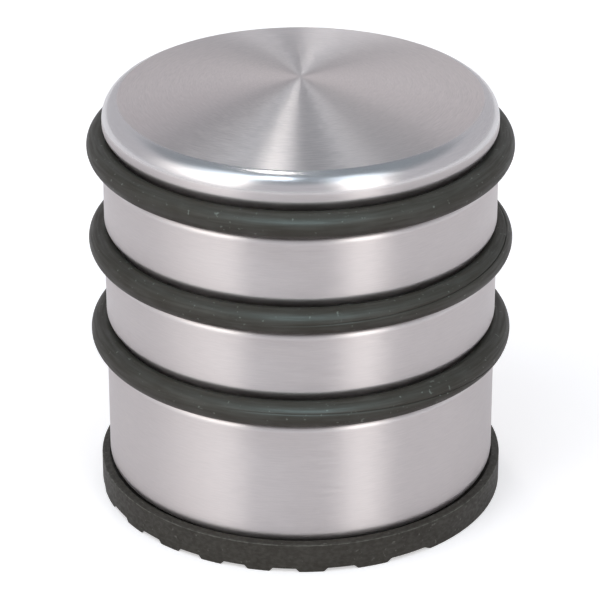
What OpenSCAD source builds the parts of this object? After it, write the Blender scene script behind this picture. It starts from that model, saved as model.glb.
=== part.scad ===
// Weighted floor door stop: a drawn and brushed metal shell closed over an iron weight,
// with three rubber bumper rings in rolled grooves and a ribbed rubber foot.
//
// Origin: centre of the underside, at floor level. +Z is up. All sizes are in millimetres.

/* [Shell] */
// Outside diameter of the metal shell
shell_d = 75; // [74:0.5:80]
// Height of the middle of the domed top above the floor
total_h = 84.5; // [84:0.5:95]
// Radius of the shallow dome across the top
dome_r = 160; // [140:1:300]
// Radius of the rounded edge between the dome and the side
corner_r = 4; // [3:0.1:4.2]
// Radius of the bend where the side turns in under the weight
hem_bend_r = 3; // [1:0.5:4]
// Width of the turned-in hem
hem_w = 6.5; // [5:0.1:8]
// Thickness of the drawn sheet
sheet_t = 0.8; // [0.6:0.05:0.9]

/* [Ring grooves] */
// Height of the middle of the lowest groove
groove_z = 33.25; // [20:0.05:33.5]
// Distance from one groove to the next
groove_pitch = 19.2; // [14:0.05:19.5]
// Depth of a groove below the side of the shell
groove_depth = 2.1; // [1.8:0.1:2.3]
// Radius of the rolled root of a groove
root_r = 4.1; // [3.5:0.1:4.6]
// Radius of the two rounded lips of a groove
lip_r = 1.8; // [1.4:0.1:2]

/* [Bumper rings] */
// Diameter of the round rubber cord
cord_d = 5; // [4.6:0.1:5.4]
// Radial clearance between a ring and the root of its groove
ring_clearance = 0.1; // [0.08:0.02:0.2]

/* [Foot] */
// Thickness of the foot's rim outside the shell
rim_t = 1.55; // [1:0.05:2]
// Gap between the shell and the foot's rim
rim_gap = 0.1; // [0.05:0.05:0.4]
// Height of the rim's inner edge above the floor
rim_h = 6.1; // [5.5:0.05:7]
// Fall of the rim's top edge from the inside to the outside
rim_fall = 0.27; // [0.1:0.01:0.6]
// Bevel around the rim's lower edge
rim_bevel = 0.25; // [0.1:0.05:0.4]
// Thickness of the foot's floor, with its ribs
foot_floor_t = 2.4; // [1.8:0.1:3]
// Number of ribs under the foot
rib_count = 9; // [7:2:9]
// Distance from one rib to the next
rib_pitch = 9.4; // [8:0.1:10]
// Width of a rib where it touches the floor
rib_tip_w = 4.2; // [3:0.1:5]
// Height of a rib
rib_h = 0.7; // [0.4:0.05:1.2]
// Width of a rib's sloping flank
rib_flank_w = 0.5; // [0.2:0.05:0.8]
// Turn of the ribs away from the front-to-back direction
rib_angle = 25; // [0:1:90]
// Sideways offset of the rib pattern from the middle of the foot
rib_offset = -0.5; // [-1:0.1:1]

/* [Weight] */
// Diameter of the iron weight
weight_d = 67; // [60:0.5:67.5]
// Diameter of the pocket cored into the top of the weight
pocket_d = 50; // [20:0.5:56]
// Thickness of solid iron left under the pocket
weight_floor_t = 14; // [12:0.5:40]
// Height of the free space above the weight, at the rounded edge of the shell
top_space_h = 0.2; // [0:0.1:2]
// Bevel on the outer edges of the weight
weight_bevel = 1; // [0.5:0.1:2]

/* [Base] */
// Diameter of the steel base plate
plate_d = 71; // [66:0.5:71]
// Thickness of the steel base plate
plate_t = 2; // [1.5:0.1:2.5]
// Thickness of the adhesive under the base plate
adhesive_t = 0.3; // [0.1:0.05:0.5]
// Thread diameter of the base screws
screw_d = 3; // [2.5:0.5:4]
// Length of a base screw under the top of its head
screw_l = 8; // [8:1:10]
// Number of base screws
screw_count = 3; // [3:1:6]
// Diameter of the circle the base screws stand on
screw_circle_d = 44; // [30:1:52]

/* [Packing] */
// Diameter of the foam disc under the dome
packing_d = 62; // [56:0.5:64]

/* [Hidden] */
$fn = 128;

// Cutters pass through the faces they open by this much.
over = 1;
// Parts that are pushed together loosely keep this much room.
slip = 0.05;
// Arcs that run smoothly into each other overlap by this much, so they always meet.
join = 0.0005;
// The dome is a small part of a large circle, so that circle is drawn with more sides.
dome_fn = 256;
// One groove for each of the three ring nodes.
ring_count = 3;

// Heights in the stack, from the floor up.
plate_z = foot_floor_t + adhesive_t;
hem_z = plate_z + plate_t;
weight_z = hem_z + sheet_t;

// The shell's outline.
shell_r = shell_d / 2;
hem_opening_r = shell_r - hem_w;
corner_centre_r = shell_r - corner_r;
dome_z = total_h - dome_r;
corner_z = dome_z + sqrt(pow(dome_r - corner_r + join, 2) - pow(corner_centre_r, 2));
dome_edge_angle = atan2(corner_z - dome_z, corner_centre_r);

// A groove's outline: one root arc, tangent to two lip arcs.
root_centre_r = shell_r - groove_depth + root_r;
lip_centre_r = shell_r - lip_r;
lip_dz = sqrt(pow(root_r + lip_r - join, 2) - pow(root_centre_r - lip_centre_r, 2));

// The rings sit on the groove roots.
ring_r = shell_r - groove_depth + ring_clearance + cord_d / 2;

// The foot wraps the bottom edge of the shell.
rim_inner_r = shell_r + rim_gap;
foot_r = rim_inner_r + rim_t;
plate_pocket_r = plate_d / 2 + slip;
channel_count = rib_count - 1;
channel_w = rib_pitch - rib_tip_w;

// The weight fills the shell below the rounded edge.
weight_top_z = corner_z - top_space_h;
pocket_z = weight_z + weight_floor_t;
spigot_r = hem_opening_r - slip;

// Countersunk screws, head flush with the underside of the plate.
head_d = 2 * screw_d;
head_h = (head_d - screw_d) / 2;
socket_across_flats = 0.65 * screw_d;
socket_depth = 0.4 * screw_d;
tapped_depth = screw_l - plate_t + over;

// Slice of a disc between two angles that are less than half a turn apart.
module disc_slice(r, from_angle, to_angle) {
    reach = 2 * r;
    intersection() {
        circle(r);
        polygon([[0, 0],
                 reach * [cos(from_angle), sin(from_angle)],
                 reach * [cos(to_angle), sin(to_angle)]]);
    }
}

// Solid outline of the ungrooved shell, set in from the outside by inset.
module plain_outline(inset) {
    side_r = shell_r - inset;
    bend_r = hem_bend_r - inset;
    bend_centre_r = shell_r - hem_bend_r;
    bend_centre_z = hem_z + hem_bend_r;
    bottom_z = hem_z + inset;
    polygon([[0, bottom_z],
             [bend_centre_r, bottom_z],
             [bend_centre_r, bend_centre_z],
             [side_r, bend_centre_z],
             [side_r, corner_z],
             [0, corner_z]]);
    translate([bend_centre_r, bend_centre_z]) disc_slice(bend_r, -90, 0);
    translate([corner_centre_r, corner_z]) disc_slice(corner_r - inset, 0, 90);
    intersection() {
        translate([0, dome_z]) circle(dome_r - inset, $fn = dome_fn);
        translate([0, corner_z - over])
            square([(dome_r - inset) * cos(dome_edge_angle), total_h]);
    }
}

// Puts its child at each ring groove.
module at_grooves() {
    for (i = [0:ring_count - 1]) translate([0, groove_z + i * groove_pitch]) children();
}

// Opening of one groove in the outline that is set in by inset, before its lips are rounded.
module groove_opening(inset) {
    clear_r = root_centre_r + over;
    translate([root_centre_r, 0]) circle(root_r + inset);
    polygon([[root_centre_r, 0],
             [lip_centre_r, lip_dz],
             [clear_r, lip_dz],
             [clear_r, -lip_dz],
             [lip_centre_r, -lip_dz]]);
}

// The two lips that round a groove's edges off.
module groove_lips(inset) {
    translate([lip_centre_r, lip_dz]) disc_slice(lip_r - inset, -90, 0);
    translate([lip_centre_r, -lip_dz]) disc_slice(lip_r - inset, 0, 90);
}

module grooved_outline(inset) {
    difference() {
        plain_outline(inset);
        at_grooves() groove_opening(inset);
    }
    at_grooves() groove_lips(inset);
}

module bumper_ring(index) {
    color([0.24, 0.25, 0.24])
        translate([0, 0, groove_z + index * groove_pitch])
            rotate_extrude() translate([ring_r, 0]) circle(cord_d / 2);
}

// Puts its child at each base screw, on the underside of the plate.
module at_screws() {
    for (i = [0:screw_count - 1])
        rotate([0, 0, 360 * i / screw_count])
            translate([screw_circle_d / 2, 0, plate_z]) children();
}

// Countersunk head, opening downwards.
module screw_head(r_outer, r_inner, h) {
    rotate_extrude() polygon([[0, 0], [r_outer, 0], [r_inner, h], [0, h]]);
}

module shell() {
    color([0.74, 0.73, 0.74]) rotate_extrude() difference() {
        grooved_outline(0);
        grooved_outline(sheet_t);
        translate([0, hem_z - over]) square([hem_opening_r, sheet_t + 2 * over]);
    }
}

module upper_ring() {
    bumper_ring(2);
}

module middle_ring() {
    bumper_ring(1);
}

module lower_ring() {
    bumper_ring(0);
}

// Trapezoid channel between two ribs, as long as the foot is wide.
module rib_channel() {
    half_floor_w = channel_w / 2;
    half_top_w = half_floor_w - rib_flank_w;
    rotate([90, 0, 0])
        linear_extrude(2 * foot_r + 2 * over, center = true)
            polygon([[-half_floor_w, -over],
                     [half_floor_w, -over],
                     [half_floor_w, 0],
                     [half_top_w, rib_h],
                     [-half_top_w, rib_h],
                     [-half_floor_w, 0]]);
}

module rubber_foot() {
    color([0.25, 0.25, 0.24]) difference() {
        rotate_extrude() polygon([[0, 0],
                                  [foot_r - rim_bevel, 0],
                                  [foot_r, rim_bevel],
                                  [foot_r, rim_h - rim_fall],
                                  [rim_inner_r, rim_h],
                                  [rim_inner_r, hem_z],
                                  [plate_pocket_r, hem_z],
                                  [plate_pocket_r, foot_floor_t],
                                  [0, foot_floor_t]]);
        rotate([0, 0, -rib_angle])
            for (i = [0:channel_count - 1])
                translate([rib_offset + (i - (channel_count - 1) / 2) * rib_pitch, 0, 0])
                    rib_channel();
    }
}

module weight() {
    weight_r = weight_d / 2;
    color([0.33, 0.33, 0.34]) difference() {
        rotate_extrude() polygon([[0, hem_z],
                                  [spigot_r, hem_z],
                                  [spigot_r, weight_z],
                                  [weight_r - weight_bevel, weight_z],
                                  [weight_r, weight_z + weight_bevel],
                                  [weight_r, weight_top_z - weight_bevel],
                                  [weight_r - weight_bevel, weight_top_z],
                                  [0, weight_top_z]]);
        translate([0, 0, pocket_z]) cylinder(d = pocket_d, h = weight_top_z);
        at_screws() translate([0, 0, plate_t - over])
            cylinder(d = screw_d, h = tapped_depth + over);
    }
}

module base_plate() {
    color([0.62, 0.63, 0.65]) difference() {
        translate([0, 0, plate_z]) cylinder(d = plate_d, h = plate_t);
        at_screws() {
            translate([0, 0, -over]) cylinder(d = screw_d + 2 * slip, h = plate_t + 2 * over);
            screw_head(head_d / 2, screw_d / 2, head_h);
        }
    }
}

module base_screws() {
    color([0.45, 0.45, 0.47]) at_screws() difference() {
        union() {
            screw_head(head_d / 2, screw_d / 2, head_h);
            cylinder(d = screw_d, h = screw_l);
        }
        translate([0, 0, -over])
            cylinder(d = socket_across_flats / cos(30), h = socket_depth + over, $fn = 6);
    }
}

// Foam, pressed to the shape of the dome above it.
module packing_disc() {
    color([0.2, 0.2, 0.22]) rotate_extrude() intersection() {
        plain_outline(sheet_t + slip);
        translate([0, weight_top_z]) square([packing_d / 2, total_h - weight_top_z]);
    }
}

module adhesive_disc() {
    color([0.85, 0.8, 0.65])
        translate([0, 0, foot_floor_t]) cylinder(d = plate_d, h = adhesive_t);
}

shell();
upper_ring();
middle_ring();
lower_ring();
rubber_foot();
weight();
base_plate();
base_screws();
packing_disc();
adhesive_disc();
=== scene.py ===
"""Weighted door stop: brushed steel shell, three rubber bumper rings and a ribbed rubber foot.

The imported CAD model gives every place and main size. This script rebuilds the visible skins as
dense lathed and swept meshes, gives every piece a procedural material, and sets up the studio.
Lengths are in millimetres until a mesh or an object is made, which is in metres.
Inside a material, lengths are in metres.
"""
import math

import bpy
import numpy as np
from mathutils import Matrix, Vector


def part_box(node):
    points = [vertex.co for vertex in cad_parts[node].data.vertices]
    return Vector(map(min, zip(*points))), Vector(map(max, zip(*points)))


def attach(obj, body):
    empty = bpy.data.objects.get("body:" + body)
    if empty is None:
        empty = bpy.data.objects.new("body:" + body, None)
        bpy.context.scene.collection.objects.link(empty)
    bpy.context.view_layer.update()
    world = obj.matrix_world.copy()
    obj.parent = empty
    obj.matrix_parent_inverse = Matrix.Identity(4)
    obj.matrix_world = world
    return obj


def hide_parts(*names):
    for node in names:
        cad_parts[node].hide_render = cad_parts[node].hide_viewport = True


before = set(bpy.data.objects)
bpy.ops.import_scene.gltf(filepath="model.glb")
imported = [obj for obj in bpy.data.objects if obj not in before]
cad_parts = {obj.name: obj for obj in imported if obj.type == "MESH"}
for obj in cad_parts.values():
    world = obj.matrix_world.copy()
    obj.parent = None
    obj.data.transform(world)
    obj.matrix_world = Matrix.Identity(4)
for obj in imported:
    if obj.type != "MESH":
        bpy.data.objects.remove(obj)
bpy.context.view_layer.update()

MM = 0.001


# ---------------------------------------------------------------- sizes, from the CAD nodes' boxes

def node_box(node):
    """Lowest and highest corner of a CAD node, in millimetres."""
    low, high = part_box(node)
    return low / MM, high / MM


shell_low, shell_high = node_box("shell")
SHELL_R = shell_high.x
SHELL_TOP = shell_high.z
SHELL_BOTTOM = shell_low.z

# The CAD model's own radii, which the nodes' boxes can't tell.
DOME_R = 160.0
CORNER_R = 4.0
SHEET_T = 0.8
HEM_W = 6.5
HEM_BEND_R = 3.0
GROOVE_DEPTH = 2.1
ROOT_R = 4.1
LIP_R = 1.8

ring_boxes = {node: node_box(node) for node in ("upper_ring", "middle_ring", "lower_ring")}
ring_low, ring_high = ring_boxes["upper_ring"]
CORD_R = (ring_high.z - ring_low.z) / 2
RING_R = ring_high.x - CORD_R
RING_Z = {node: (low.z + high.z) / 2 for node, (low, high) in ring_boxes.items()}

foot_high = node_box("rubber_foot")[1]
FOOT_R = foot_high.x
RIM_H = foot_high.z
# The rim's top slopes down outwards by this much.
RIM_FALL = 0.27
RIM_GAP = 0.1
PLATE_POCKET_R = 35.55
FOOT_FLOOR_T = 2.4
RIB_PITCH = 9.4
RIB_TIP_W = 4.2
RIB_H = 0.7
RIB_FLANK_W = 0.5
RIB_ANGLE = math.radians(25)
RIB_OFFSET = -0.5
# The ribs leave this many channels between them.
CHANNEL_COUNT = 8

# Finishes, as linear colours.
SHELL_COLOUR = (0.765, 0.712, 0.704, 1)
BEND_COLOUR = (0.78, 0.76, 0.765, 1)
RING_COLOUR = (0.026, 0.0205, 0.016, 1)
RING_PALE = (0.042, 0.036, 0.031, 1)
FOOT_COLOUR = (0.031, 0.028, 0.023, 1)
FOOT_PALE = (0.054, 0.051, 0.044, 1)
# Dust specks and scuffs on the rubber. The same colour draws the painted highlight on the foot's
# rounded edges.
DUST_AND_EDGE_HIGHLIGHT_COLOUR = (0.2, 0.2, 0.175, 1)

# How far the brushing lightens and darkens the metal, on the side and on the dome.
SIDE_STREAK = 0.04
DOME_STREAK = 0.11
# How far a scratch in the brushing runs off true, as a part of a turn.
SCRATCH_TURN = 0.015
# How far the rolled grooves are polished, where the rounded top edge is 1.
GROOVE_POLISH = 0.3
SHELL_ROUGHNESS = 0.34
BEND_ROUGHNESS = 0.22
RING_ROUGHNESS = 0.46
FOOT_ROUGHNESS = 0.5

# Small detail that only the visual model has.
# Moulding lines: width, depth where they are crispest, and the hoop angle where that is.
SEAM_W = 0.24
SEAM_DEPTH = 0.34
SEAM_CRISP_AT = math.radians(-22)
# How the section of each ring is rolled round its cord: mean, swing and lead, in degrees.
RING_ROLL = {"upper_ring": (125, 6, 60), "middle_ring": (45, 45, 20), "lower_ring": (-30, 55, 190)}
# The nib left by the mould's gate: its ring, hoop angle, section angle, height and spread.
NIB_RING = "middle_ring"
NIB_HOOP = math.radians(-77)
NIB_SECTION = math.radians(117)
NIB_H = 0.22
NIB_SPREAD = 0.75
# How far the moulded inner edge of the foot's rim wanders in and out.
RIM_WANDER = 0.035
# Rounding of the foot's lower edge, of its rim and of the corners of its ribs.
FOOT_EDGE_R = 0.22
RIM_EDGE_R = 0.16
RIB_ROUND = 0.15

# Steps round each skin.
SHELL_SEGMENTS = 360
RING_SEGMENTS = 480

# The part of a noise texture's range, from 0 to 1, that most of its values fall in.
NOISE_SPAN = (0.3, 0.7)


# ---------------------------------------------------------------- outlines

def arc(centre, radius, start, end, count):
    """Points on an arc, angles in degrees, both ends included."""
    angles = np.radians(np.linspace(start, end, count))
    return [(centre[0] + radius * math.cos(a), centre[1] + radius * math.sin(a)) for a in angles]


def line(start, end, count):
    """Points on a straight line, without its two ends."""
    steps = np.linspace(0, 1, count + 2)[1:-1]
    return [(start[0] + (end[0] - start[0]) * t, start[1] + (end[1] - start[1]) * t) for t in steps]


def groove_points(centre_z, inset):
    """The S of lip, root and lip of one rolled groove, from the top down."""
    root_centre_r = SHELL_R - GROOVE_DEPTH + ROOT_R
    lip_centre_r = SHELL_R - LIP_R
    lip_dz = math.sqrt((ROOT_R + LIP_R) ** 2 - (root_centre_r - lip_centre_r) ** 2)
    swing = math.degrees(math.atan2(lip_dz, root_centre_r - lip_centre_r))
    upper_lip = arc((lip_centre_r, centre_z + lip_dz), LIP_R - inset, 0, -swing, 9)
    root = arc((root_centre_r, centre_z), ROOT_R + inset, 180 - swing, 180 + swing, 19)
    lower_lip = arc((lip_centre_r, centre_z - lip_dz), LIP_R - inset, swing, 0, 9)
    return upper_lip + root[1:-1] + lower_lip


def shell_outline(inset):
    """The shell's surface from the middle of the dome to the hem, set in by inset."""
    dome_z = SHELL_TOP - DOME_R
    corner_centre_r = SHELL_R - CORNER_R
    corner_z = dome_z + math.sqrt((DOME_R - CORNER_R) ** 2 - corner_centre_r ** 2)
    edge_angle = math.degrees(math.atan2(corner_z - dome_z, corner_centre_r))
    points = arc((0, dome_z), DOME_R - inset, 90, edge_angle, 44)
    points += arc((corner_centre_r, corner_z), CORNER_R - inset, edge_angle, 0, 20)[1:]
    for node in ("upper_ring", "middle_ring", "lower_ring"):
        groove = groove_points(RING_Z[node], inset)
        points += line(points[-1], groove[0], 5 if node != "upper_ring" else 0) + groove
    bend_centre = (SHELL_R - HEM_BEND_R, SHELL_BOTTOM + HEM_BEND_R)
    bend = arc(bend_centre, HEM_BEND_R - inset, 0, -90, 7)
    points += line(points[-1], bend[0], 12) + bend
    return points


# ---------------------------------------------------------------- mesh building

def make_object(name, vertices, faces, smooth_angle=40):
    """A mesh object from points in millimetres, smooth except at edges sharper than smooth_angle."""
    mesh = bpy.data.meshes.new(name)
    mesh.from_pydata((np.asarray(vertices) * MM).tolist(), [], faces)
    mesh.shade_smooth()
    mesh.set_sharp_from_angle(angle=math.radians(smooth_angle))
    mesh.validate()
    obj = bpy.data.objects.new(name, mesh)
    bpy.context.scene.collection.objects.link(obj)
    return obj


def lathe(name, outline, segments):
    """Turns an outline of (r, z) points about Z, down its outside and back up its inside.

    A point on the axis becomes one vertex."""
    vertices = []
    rings = []
    for r, z in outline:
        if r < 1e-6:
            rings.append([len(vertices)] * segments)
            vertices.append((0.0, 0.0, z))
            continue
        rings.append(list(range(len(vertices), len(vertices) + segments)))
        for k in range(segments):
            a = 2 * math.pi * k / segments
            vertices.append((r * math.cos(a), r * math.sin(a), z))
    return make_object(name, vertices, band_faces(rings))


def band_faces(rings):
    """Faces between each loop of vertices and the next. Corners that coincide are dropped."""
    faces = []
    for upper, lower in zip(rings, rings[1:]):
        for k in range(len(upper)):
            n = (k + 1) % len(upper)
            corners = tuple(dict.fromkeys((upper[k], lower[k], lower[n], upper[n])))
            if len(corners) > 2:
                faces.append(corners)
    return faces


# ---------------------------------------------------------------- material helpers

class Nodes:
    """A material's or the world's node tree, with short calls for the nodes used here."""

    def __init__(self, name, world=False):
        self.owner = (bpy.data.worlds if world else bpy.data.materials).new(name)
        self.owner.use_nodes = True
        self.tree = self.owner.node_tree
        self.surface = self.tree.nodes["Background" if world else "Principled BSDF"]

    def add(self, kind, inputs=None, **settings):
        node = self.tree.nodes.new(kind)
        for key, value in settings.items():
            setattr(node, key, value)
        for key, value in (inputs or {}).items():
            self.put(node.inputs[key], value)
        return node

    def put(self, socket, value):
        if isinstance(value, bpy.types.NodeSocket):
            self.tree.links.new(value, socket)
        else:
            socket.default_value = value

    def math(self, operation, a, b=0.0, c=0.0):
        node = self.add("ShaderNodeMath", {0: a, 1: b, 2: c}, operation=operation)
        return node.outputs[0]

    def remap(self, value, low, high, to_low, to_high, smooth=False):
        node = self.add("ShaderNodeMapRange", {
            "Value": value, "From Min": low, "From Max": high, "To Min": to_low, "To Max": to_high,
        }, interpolation_type="SMOOTHSTEP" if smooth else "LINEAR")
        return node.outputs["Result"]

    def mix(self, factor, a, b, blend="MIX"):
        node = self.add("ShaderNodeMix", data_type="RGBA", blend_type=blend)
        self.put(node.inputs["Factor"], factor)
        self.put(node.inputs["A"], a)
        self.put(node.inputs["B"], b)
        return node.outputs["Result"]

    def blend(self, factor, a, b):
        """a where factor is 0 and b where it is 1, for plain numbers."""
        node = self.add("ShaderNodeMix", data_type="FLOAT")
        for key, value in (("Factor", factor), ("A", a), ("B", b)):
            self.put(node.inputs[key], value)
        return node.outputs["Result"]

    def noise(self, vector, scale, detail=2.0, roughness=0.5):
        node = self.add("ShaderNodeTexNoise", {
            "Vector": vector, "Scale": scale, "Detail": detail, "Roughness": roughness,
        })
        return node.outputs["Fac"]

    def bump(self, height, distance, strength=1.0, normal=None):
        node = self.add("ShaderNodeBump", {
            "Height": height, "Distance": distance, "Strength": strength,
        })
        if normal is not None:
            self.put(node.inputs["Normal"], normal)
        return node.outputs["Normal"]

    def object_point(self):
        return self.add("ShaderNodeTexCoord").outputs["Object"]

    def separate(self, vector):
        return self.add("ShaderNodeSeparateXYZ", {"Vector": vector}).outputs

    def tilt(self):
        """How far the surface faces up or down: 0 where it is upright and 1 where it is level."""
        normal = self.add("ShaderNodeTexCoord").outputs["Normal"]
        return self.math("ABSOLUTE", self.separate(normal)["Z"])

    def combine(self, x, y, z):
        return self.add("ShaderNodeCombineXYZ", {"X": x, "Y": y, "Z": z}).outputs[0]

    def set(self, **inputs):
        for key, value in inputs.items():
            self.put(self.surface.inputs[key.replace("_", " ")], value)


def hoop_noise(n, width, length, detail=2.0):
    """Noise drawn out along circles about Z. It is width across them and length along them, in mm."""
    x, y, z = n.separate(n.object_point())
    radius = n.math("SQRT", n.math("ADD", n.math("MULTIPLY", x, x), n.math("MULTIPLY", y, y)))
    hoop_scale = n.math("DIVIDE", SHELL_R / length, n.math("MAXIMUM", radius, MM * MM))
    across = n.math("MULTIPLY", n.math("SUBTRACT", radius, z), 1 / (width * MM))
    vector = n.combine(n.math("MULTIPLY", x, hoop_scale), n.math("MULTIPLY", y, hoop_scale), across)
    return n.noise(vector, 1.0, detail)


def brushed_steel_material(name, colour, rough, polished_colour, polished_rough):
    """Spun sheet, brushed round the axis on its flat runs and polished by the tools at every bend.

    On the runs the streaks follow circles about Z and highlights spread across them. The bends are
    found by the tilt of the skin: upright on the side, nearly level on the dome, between on a bend.
    The rounded top edge is polished fully, the rolled grooves less so."""
    n = Nodes(name)
    fine = hoop_noise(n, 0.16, 2.4)
    medium = hoop_noise(n, 0.4, 5.0)
    broad = n.noise(n.object_point(), 60.0)
    tilt = n.tilt()
    off_side = n.remap(tilt, 0.03, 0.25, 0.0, 1.0, smooth=True)
    off_dome = n.remap(tilt, 0.955, 0.972, 1.0, 0.0, smooth=True)
    z = n.separate(n.object_point())["Z"]
    groove_top = (RING_Z["upper_ring"] + ROOT_R) * MM
    polish = n.remap(z, groove_top, groove_top + 2 * MM, GROOVE_POLISH, 1.0)
    bend = n.math("MULTIPLY", n.math("MULTIPLY", off_side, off_dome), polish)
    light = n.math("ADD", n.math("MULTIPLY", fine, 0.65), n.math("MULTIPLY", medium, 0.35))
    on_dome = n.remap(tilt, 0.97, 0.98, 0.0, 1.0)
    depth = n.blend(on_dome, SIDE_STREAK, DOME_STREAK)
    shade = n.math("ADD", n.math("MULTIPLY", n.remap(light, *NOISE_SPAN, -1.0, 1.0), depth), 1.0)
    tone = n.math("MULTIPLY", shade, n.remap(broad, *NOISE_SPAN, 0.99, 1.01))
    metal = n.mix(bend, colour, polished_colour)
    streaky = n.remap(medium, *NOISE_SPAN, rough - 0.03, rough + 0.03)
    # A quarter turn lays the highlights across the brushing. Each scratch runs a little off true,
    # which breaks up their edges.
    quarter = 0.25
    scratch_turn = n.remap(light, *NOISE_SPAN, quarter - SCRATCH_TURN, quarter + SCRATCH_TURN)
    tangent = n.add("ShaderNodeTangent", direction_type="RADIAL", axis="Z").outputs[0]
    n.set(
        Base_Color=n.mix(1.0, metal, n.combine(tone, tone, tone), "MULTIPLY"), Metallic=1.0,
        Roughness=n.blend(bend, streaky, polished_rough), Tangent=tangent,
        Anisotropic=n.remap(bend, 0.0, 1.0, 1.0, 0.4), Anisotropic_Rotation=scratch_turn,
        Normal=n.bump(light, 0.004 * MM, n.remap(bend, 0.0, 1.0, 0.4, 0.1)),
    )
    return n.owner


def rubber_material(name, colour, pale, roughness, flow_length, painted_edge_highlight=0.0):
    """Matte moulded rubber: fine grain, flow marks and scuffs that run round it, and dust specks.

    The last argument sets a painted highlight: it pales the narrow rounded edges, which are neither
    upright nor level."""
    n = Nodes(name)
    point = n.object_point()
    grain = n.noise(point, 2600.0, 3.0)
    mottle = n.noise(point, 170.0, 3.0, 0.6)
    flow = hoop_noise(n, 0.6, flow_length, 3.0)
    specks = n.remap(n.noise(point, 1100.0, 1.0), 0.70, 0.77, 0.0, 0.4)
    scuffs = n.remap(hoop_noise(n, 0.3, 1.8, 1.0), 0.75, 0.84, 0.0, 0.3)
    paleness = n.math("ADD", n.remap(mottle, 0.35, 0.65, 0.0, 0.4), n.remap(flow, 0.4, 0.65, 0.0, 0.6))
    body = n.mix(paleness, colour, pale)
    tilt = n.tilt()
    off_side = n.remap(tilt, 0.15, 0.4, 0.0, 1.0)
    off_top = n.remap(tilt, 0.88, 0.97, 1.0, 0.0)
    # Painted highlight on the narrow rounded edges, between upright and level, broken up along the
    # flow marks.
    edges = n.math("MULTIPLY", n.math("MULTIPLY", off_side, off_top), painted_edge_highlight)
    painted_edge_streaks = n.math("MULTIPLY", edges, n.remap(flow, 0.35, 0.6, 0.3, 1.0))
    marks = n.math("MAXIMUM", n.math("MAXIMUM", specks, scuffs), painted_edge_streaks)
    dusty_and_highlit = n.mix(marks, body, DUST_AND_EDGE_HIGHLIGHT_COLOUR)
    rough = n.remap(flow, *NOISE_SPAN, roughness + 0.08, roughness - 0.08)
    height = n.math("ADD", n.math("MULTIPLY", grain, 0.5), n.math("MULTIPLY", flow, 0.5))
    n.set(
        Base_Color=dusty_and_highlit, Roughness=rough, Normal=n.bump(height, 0.04 * MM, 0.5),
        Specular_IOR_Level=0.28, Specular_Tint=(1.0, 0.95, 0.9, 1),
    )
    return n.owner


def cast_iron_material(name):
    """Sand-cast iron: a pitted dark skin with a little rust in the hollows."""
    n = Nodes(name)
    point = n.object_point()
    sand = n.noise(point, 900.0, 4.0, 0.65)
    hollows = n.noise(point, 140.0, 3.0)
    rust = n.remap(hollows, 0.55, 0.72, 0.0, 0.6, smooth=True)
    skin = n.mix(sand, (0.09, 0.09, 0.095, 1), (0.17, 0.17, 0.175, 1))
    height = n.math("ADD", n.math("MULTIPLY", sand, 0.4), hollows)
    n.set(
        Base_Color=n.mix(rust, skin, (0.16, 0.07, 0.035, 1)),
        Metallic=n.remap(rust, 0.0, 0.6, 0.75, 0.1), Roughness=n.remap(sand, *NOISE_SPAN, 0.55, 0.8),
        Normal=n.bump(height, 0.15 * MM, 0.7),
    )
    return n.owner


def zinc_material(name, spangle_mm):
    """Zinc plate: grains that each catch the light a little differently, with fine handling marks."""
    n = Nodes(name)
    point = n.object_point()
    grains = n.add("ShaderNodeTexVoronoi", {"Vector": point, "Scale": 1 / (spangle_mm * MM)})
    grain = n.add("ShaderNodeSeparateColor", {"Color": grains.outputs["Color"]}).outputs["Red"]
    marks = n.noise(point, 1500.0, 4.0, 0.7)
    rough = n.math("ADD", n.remap(grain, 0.0, 1.0, 0.24, 0.38), n.math("MULTIPLY", marks, 0.08))
    n.set(
        Base_Color=n.mix(grain, (0.5, 0.52, 0.55, 1), (0.66, 0.67, 0.68, 1)),
        Metallic=1.0, Roughness=rough, Normal=n.bump(marks, 0.01 * MM, 0.4),
    )
    return n.owner


def foam_material(name):
    """Closed-cell foam: small round cells with paler walls between them."""
    n = Nodes(name)
    point = n.object_point()
    cell_size = 0.6 * MM
    cells = n.add("ShaderNodeTexVoronoi", {"Vector": point, "Scale": 1 / cell_size})
    depth = cells.outputs["Distance"]
    n.set(
        Base_Color=n.mix(depth, (0.03, 0.03, 0.034, 1), (0.075, 0.075, 0.082, 1)),
        Roughness=n.remap(n.noise(point, 200.0), *NOISE_SPAN, 0.85, 0.98),
        Normal=n.bump(depth, 0.2 * MM, 0.8),
    )
    return n.owner


def adhesive_material(name):
    """Double-sided adhesive: a cloudy amber film with stray fibres in it."""
    n = Nodes(name)
    point = n.object_point()
    fibres = n.noise(point, 700.0, 4.0, 0.75)
    clouds = n.noise(point, 90.0, 2.0)
    film = n.mix(clouds, (0.62, 0.54, 0.37, 1), (0.76, 0.7, 0.55, 1))
    n.set(
        Base_Color=n.mix(n.remap(fibres, 0.55, 0.7, 0.0, 0.5), film, (0.85, 0.82, 0.74, 1)),
        Roughness=n.remap(clouds, *NOISE_SPAN, 0.3, 0.5), Coat_Weight=0.3,
        Normal=n.bump(fibres, 0.02 * MM, 0.5),
    )
    return n.owner


# ---------------------------------------------------------------- the shell

def take_over(skin, node, body, material):
    """Puts a skin in a CAD node's place, on its body and with this material."""
    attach(skin, body)
    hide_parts(node)
    skin.data.materials.append(material)


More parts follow.
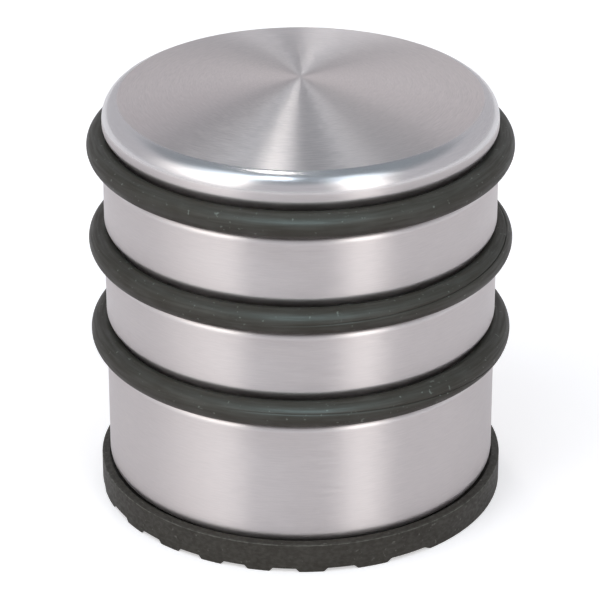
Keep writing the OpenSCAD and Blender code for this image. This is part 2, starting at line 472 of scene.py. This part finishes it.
outer = shell_outline(0)
inner = shell_outline(SHEET_T)
hem_inner_r = SHELL_R - HEM_W
hem_lower = (hem_inner_r, SHELL_BOTTOM)
hem_upper = (hem_inner_r, SHELL_BOTTOM + SHEET_T)
shell_section = outer + line(outer[-1], hem_lower, 3) + [hem_lower, hem_upper]
shell_section += line(hem_upper, inner[-1], 3) + inner[::-1]
shell_skin = lathe("shell_skin", shell_section, SHELL_SEGMENTS)
brushed_shell = brushed_steel_material(
    "brushed_shell", SHELL_COLOUR, SHELL_ROUGHNESS, BEND_COLOUR, BEND_ROUGHNESS)
take_over(shell_skin, "shell", "housing", brushed_shell)


# ---------------------------------------------------------------- the rings

RING_BODY = {"upper_ring": "top_bumper", "middle_ring": "mid_bumper", "lower_ring": "low_bumper"}


def wrapped(angle):
    """An angle in radians, brought to between -pi and pi."""
    return math.remainder(angle, 2 * math.pi)


def ring_section():
    """Pairs of section angle in degrees and share of the seam's depth, from seam to seam and back."""
    edge = math.degrees(SEAM_W / 2 / CORD_R)
    half = [(edge, 0), (edge / 3, 1), (-edge / 3, 1)]
    half += [(angle, 0) for angle in np.linspace(-edge, edge - 180, 40)[:-1]]
    return half + [(angle - 180, share) for angle, share in half]


def nib_lift(hoop, around):
    """Height of the gate's nib at a hoop angle and a section angle."""
    along = RING_R * wrapped(hoop - NIB_HOOP)
    across = CORD_R * wrapped(around - NIB_SECTION)
    return NIB_H * math.exp(-(along ** 2 + across ** 2) / NIB_SPREAD ** 2)


def ring_mesh(node, segments):
    """A round cord bent into a ring, with a fine moulding line on each side.

    The cord is rolled a little as it sits in its groove, more in some places than in others, so the
    lines wander. They are crisp on one side of the ring and fade out on the other."""
    mean, swing, lead = RING_ROLL[node]
    section = ring_section()
    fade = 4
    vertices = []
    for k in range(segments):
        hoop = wrapped(2 * math.pi * k / segments)
        roll = mean + swing * math.sin(hoop + math.radians(lead))
        depth = SEAM_DEPTH * (0.5 + 0.5 * math.cos(hoop - SEAM_CRISP_AT)) ** fade
        for angle, share in section:
            around = math.radians(roll + angle)
            reach = CORD_R - depth * share
            if node == NIB_RING:
                reach += nib_lift(hoop, around)
            r = RING_R + reach * math.cos(around)
            z = RING_Z[node] + reach * math.sin(around)
            vertices.append((r * math.cos(hoop), r * math.sin(hoop), z))
    count = len(section)
    loops = [list(range(i, len(vertices), count)) for i in range(count)]
    return make_object(node + "_skin", vertices, band_faces(loops + loops[:1]), 80)


ring_rubber = rubber_material(
    "ring_rubber", RING_COLOUR, RING_PALE, RING_ROUGHNESS, flow_length=7.0)
ring_skins = bpy.data.collections.new("ring_skins")
for node, body in RING_BODY.items():
    ring = ring_mesh(node, RING_SEGMENTS)
    take_over(ring, node, body, ring_rubber)
    ring_skins.objects.link(ring)


# ---------------------------------------------------------------- the foot

def channel_centres():
    """Distances across the ribs of the middles of the channels between them."""
    middle = (CHANNEL_COUNT - 1) / 2
    return [RIB_OFFSET + (i - middle) * RIB_PITCH for i in range(CHANNEL_COUNT)]


def rib_height(u):
    """Height of the underside above the floor at distance u across the ribs."""
    height = 0.0
    for centre in channel_centres():
        reach = (RIB_PITCH - RIB_TIP_W) / 2 - abs(u - centre)
        t = min(1.0, max(0.0, (reach + RIB_ROUND) / (RIB_FLANK_W + 2 * RIB_ROUND)))
        height = max(height, RIB_H * t * t * (3 - 2 * t))
    return height


def rim_inner_r(angle):
    """Radius of the rim's inner edge, which wanders a little because it is moulded soft."""
    waves = math.sin(17 * angle) + math.sin(29 * angle + 1) + math.sin(53 * angle + 2)
    return SHELL_R + RIM_GAP + RIM_WANDER * waves / 3


def rib_stations(under_r):
    """Places across the underside for its strips: even round the edge and close on each flank."""
    stations = set(np.round(under_r * np.sin(np.radians(np.linspace(-90, 90, 181))), 6))
    half = RIB_FLANK_W / 2 + RIB_ROUND
    clear = half + 0.05
    for centre in channel_centres():
        for side in (-1, 1):
            flank = centre + side * ((RIB_PITCH - RIB_TIP_W) / 2 - RIB_FLANK_W / 2)
            stations = {u for u in stations if abs(u - flank) >= clear}
            stations |= set(np.round(np.linspace(flank - half, flank + half, 9), 6))
    return np.array(sorted(u for u in stations if abs(u) <= under_r + 1e-6))


def rim_points(angle, wall_z):
    """The rim and the floor inside it at one hoop angle, from the outer wall to the pocket."""
    inner_r = rim_inner_r(angle)
    outer_z = RIM_H - RIM_FALL - RIM_EDGE_R
    inner_z = RIM_H - RIM_EDGE_R
    points = line((FOOT_R, wall_z), (FOOT_R, outer_z), 3)
    points += arc((FOOT_R - RIM_EDGE_R, outer_z), RIM_EDGE_R, 0, 75, 5)
    points += arc((inner_r + RIM_EDGE_R, inner_z), RIM_EDGE_R, 75, 180, 6)
    points += line((inner_r, inner_z), (inner_r, SHELL_BOTTOM), 3)
    points += [(inner_r, SHELL_BOTTOM), (PLATE_POCKET_R, SHELL_BOTTOM)]
    return points + [(PLATE_POCKET_R, FOOT_FLOOR_T), (PLATE_POCKET_R * 0.6, FOOT_FLOOR_T)]


def foot_mesh():
    """The foot: a ribbed underside in strips along the ribs, closed by a lathed wall and floor."""
    under_r = FOOT_R - FOOT_EDGE_R
    stations = rib_stations(under_r)
    rows = 24
    vertices = []
    grid = []
    for u in stations:
        z = rib_height(u)
        half = math.sqrt(max(0, under_r ** 2 - u ** 2))
        if half < 1e-3:
            grid.append([len(vertices)] * (rows + 1))
            vertices.append((u, 0.0, z))
            continue
        grid.append(list(range(len(vertices), len(vertices) + rows + 1)))
        for j in range(rows + 1):
            vertices.append((u, half * (2 * j / rows - 1), z))
    faces = []
    for left, right in zip(grid, grid[1:]):
        for j in range(rows):
            quad = (left[j], left[j + 1], right[j + 1], right[j])
            corners = tuple(dict.fromkeys(quad))
            if len(corners) > 2:
                faces.append(corners)
    # The rim's columns start at the ends of the strips, all the way round.
    front = [column[0] for column in grid]
    back = [column[-1] for column in grid][::-1]
    loop = front + back[1:-1] if grid[0][0] == grid[0][-1] else front + back
    wall_z = 1.6
    rounded = arc((FOOT_R - FOOT_EDGE_R, FOOT_EDGE_R), FOOT_EDGE_R, -90, 0, 6)[1:]
    columns = []
    for index in loop:
        x, y, start = vertices[index]
        angle = math.atan2(y, x)
        lift = [(r, z + start) for r, z in rounded]
        side = line(lift[-1], (FOOT_R, wall_z), 2)
        column = [index]
        for r, z in lift + side + [(FOOT_R, wall_z)] + rim_points(angle, wall_z):
            column.append(len(vertices))
            vertices.append((r * math.cos(angle), r * math.sin(angle), z))
        columns.append(column)
    middle = len(vertices)
    vertices.append((0.0, 0.0, FOOT_FLOOR_T))
    for this, after in zip(columns, columns[1:] + columns[:1]):
        for k in range(len(this) - 1):
            faces.append((this[k], after[k], after[k + 1], this[k + 1]))
        faces.append((this[-1], after[-1], middle))
    # The strips were laid along Y. Here they are turned to the ribs' own direction.
    points = np.array(vertices)
    across = np.array([math.cos(RIB_ANGLE), -math.sin(RIB_ANGLE), 0])
    along = np.array([math.sin(RIB_ANGLE), math.cos(RIB_ANGLE), 0])
    placed = points[:, :1] * across + points[:, 1:2] * along
    placed[:, 2] = points[:, 2]
    return make_object("foot_skin", placed, faces, 38)


# The foot's narrow rounded edges get a painted highlight.
foot_rubber = rubber_material(
    "foot_rubber", FOOT_COLOUR, FOOT_PALE, FOOT_ROUGHNESS, flow_length=0.9, painted_edge_highlight=0.55)
take_over(foot_mesh(), "rubber_foot", "housing", foot_rubber)


# ---------------------------------------------------------------- the parts inside

def refinish(node, material):
    """Gives a carried-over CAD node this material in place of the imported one."""
    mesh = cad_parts[node].data
    mesh.materials.clear()
    mesh.materials.append(material)


refinish("weight", cast_iron_material("cast_iron"))
refinish("base_plate", zinc_material("zinc_sheet", 1.6))
refinish("base_screws", zinc_material("zinc_screws", 0.5))
refinish("packing_disc", foam_material("packing_foam"))
refinish("adhesive_disc", adhesive_material("adhesive"))


# ---------------------------------------------------------------- studio

# The floor's colour and its glow, in the camera's eyes and in everything else's.
FLOOR_COLOUR = (0.915, 0.885, 0.88, 1)
FLOOR_LIFT = 0.46
FLOOR_GLOW = 0.09
# Half the floor's width, in metres.
FLOOR_HALF = 3.0
# The tent's brightness low down and overhead, and the elevations between which it falls.
TENT_LOW = 0.55
TENT_HIGH = 0.34
TENT_FALL = (35.5, 46)
# The light's colour low down, in a soft box and overhead, and where the overhead colour comes in.
TENT_COLOUR = (0.97, 0.965, 1.02, 1)
BOX_COLOUR = (1.0, 0.975, 0.935, 1)
OVERHEAD_COLOUR = (0.80, 0.91, 1.01, 1)
OVERHEAD = (28, 62)
# Each soft box: azimuths, azimuth edges, elevations, elevation edges, strength. Those at the back
# have their azimuths measured from straight behind.
SOFT_BOXES = (
    ((-46, -42.5), (57.5, 17), (30, 68), (50, 4.5), 1.82),
    ((36, 37), (22, 21), (-1, 49), (45, 4), 1.66),
    ((-36, -13), (9, 4), (66, 75), (5.5, 2), 4.5),
    ((45, 63), (34, 4), (54.5, 68), (28, 3), 1.3),
)
BACK_BOXES = (
    ((13.5, 21), (2.3, 2.2), (68.5, 74.5), (2, 4.5), 16.5),
    ((-5, -3), (2, 2), (27, 35.5), (20, 3), 1.0),
)
# The ring light: width and height in metres, watts, colour, degrees up and metres away.
RING_LIGHT_SIZE = (0.8, 0.45)
RING_LIGHT_POWER = 13
RING_LIGHT_COLOUR = (0.6, 0.93, 1.02)
RING_LIGHT_ELEVATION = 46
RING_LIGHT_DISTANCE = 1.2


def make_world():
    """A grey tent that is darker overhead, with soft boxes round the camera's side and behind.

    Azimuth 0 is the camera's side and +90 is the camera's right. Angles are in degrees."""
    n = Nodes("studio", world=True)
    direction = n.add("ShaderNodeTexCoord").outputs["Generated"]
    x, y, z = n.separate(direction)
    to_degrees = math.degrees(1)
    azimuth = n.math("MULTIPLY", n.math("ARCTAN2", x, n.math("MULTIPLY", y, -1.0)), to_degrees)
    elevation = n.math("MULTIPLY", n.math("ARCSINE", z), to_degrees)

    def window(value, low, high, low_edge, high_edge):
        """1 between low and high, falling smoothly to 0 over each edge's width outside them."""
        rise = n.remap(value, low - low_edge, low, 0.0, 1.0, smooth=True)
        fall = n.remap(value, high, high + high_edge, 1.0, 0.0, smooth=True)
        return n.math("MULTIPLY", rise, fall)

    def soft_box(angle, azimuths, azimuth_edges, elevations, elevation_edges, strength):
        across = window(angle, *azimuths, *azimuth_edges)
        up = window(elevation, *elevations, *elevation_edges)
        return n.math("MULTIPLY", n.math("MULTIPLY", across, up), strength)

    # Behind the stop the azimuth wraps round at 180, so that side is measured from straight behind.
    behind = n.math("SUBTRACT", n.math("MODULO", n.math("ADD", azimuth, 360.0), 360.0), 180.0)
    tent = n.remap(elevation, *TENT_FALL, TENT_LOW, TENT_HIGH, smooth=True)
    front = back = 0.0
    for box in SOFT_BOXES:
        front = n.math("ADD", soft_box(azimuth, *box), front)
    for box in BACK_BOXES:
        back = n.math("ADD", soft_box(behind, *box), back)
    facing = n.math("ADD", tent, front)
    light = n.math("ADD", facing, back)
    front_share = n.math("DIVIDE", front, n.math("MAXIMUM", facing, 0.001))
    back_share = n.math("DIVIDE", back, n.math("MAXIMUM", light, 0.001))
    height = n.remap(elevation, *OVERHEAD, 0.0, 1.0, smooth=True)
    sky = n.mix(height, n.mix(front_share, TENT_COLOUR, BOX_COLOUR), OVERHEAD_COLOUR)
    colour = n.mix(back_share, sky, BOX_COLOUR)
    # The camera itself sees plain white.
    seen = n.add("ShaderNodeLightPath").outputs["Is Camera Ray"]
    strength = n.math("ADD", n.math("MULTIPLY", light, n.math("SUBTRACT", 1.0, seen)), seen)
    n.put(n.surface.inputs["Color"], n.mix(seen, colour, (1, 1, 1, 1)))
    n.put(n.surface.inputs["Strength"], strength)
    bpy.context.scene.world = n.owner


def aim_at(obj, target):
    """Turns a camera or a light, which look along their own -Z, towards a point."""
    direction = Vector(target) - obj.location
    obj.rotation_euler = direction.to_track_quat("-Z", "Y").to_euler()


def make_ring_light():
    """A wide, cool soft light over the camera that reaches the rings only and picks out the cords."""
    data = bpy.data.lights.new("ring_light", "AREA")
    data.shape = "RECTANGLE"
    data.size, data.size_y = RING_LIGHT_SIZE
    data.energy = RING_LIGHT_POWER
    data.color = RING_LIGHT_COLOUR
    light = bpy.data.objects.new("ring_light", data)
    bpy.context.scene.collection.objects.link(light)
    elevation = math.radians(RING_LIGHT_ELEVATION)
    across = RING_LIGHT_DISTANCE * math.cos(elevation)
    light.location = (0, -across, RING_LIGHT_DISTANCE * math.sin(elevation))
    aim_at(light, (0, 0, RING_Z["middle_ring"] * MM))
    light.light_linking.receiver_collection = ring_skins


def make_floor():
    """A plain white floor. It is drawn a little over-bright, so that it runs into the backdrop."""
    half = FLOOR_HALF
    mesh = bpy.data.meshes.new("floor")
    corners = [(-half, -half, 0), (half, -half, 0), (half, half, 0), (-half, half, 0)]
    mesh.from_pydata(corners, [], [(0, 1, 2, 3)])
    floor = bpy.data.objects.new("floor", mesh)
    bpy.context.scene.collection.objects.link(floor)
    n = Nodes("pale_floor")
    seen = n.add("ShaderNodeLightPath").outputs["Is Camera Ray"]
    n.set(
        Base_Color=FLOOR_COLOUR, Roughness=0.9, Specular_IOR_Level=0.0,
        Emission_Color=(1, 1, 1, 1), Emission_Strength=n.remap(seen, 0, 1, FLOOR_GLOW, FLOOR_LIFT),
    )
    mesh.materials.append(n.owner)


make_world()
make_ring_light()
make_floor()

# The camera stands in front, at this angle and distance from a point on the axis.
CAMERA_ELEVATION = math.radians(26.03)
CAMERA_DISTANCE = 643.1
CAMERA_PIVOT_Z = 42
CAMERA_TARGET = (-0.12 * MM, 0, 37.82 * MM)
CAMERA_LENS = 199.9
SENSOR_W = 36

camera_data = bpy.data.cameras.new("camera")
camera = bpy.data.objects.new("camera", camera_data)
bpy.context.scene.collection.objects.link(camera)
camera.location = (
    0,
    -CAMERA_DISTANCE * math.cos(CAMERA_ELEVATION) * MM,
    (CAMERA_PIVOT_Z + CAMERA_DISTANCE * math.sin(CAMERA_ELEVATION)) * MM,
)
aim_at(camera, CAMERA_TARGET)
camera_data.lens = CAMERA_LENS
camera_data.sensor_width = SENSOR_W
bpy.context.scene.camera = camera
bpy.context.scene.view_settings.view_transform = "Standard"
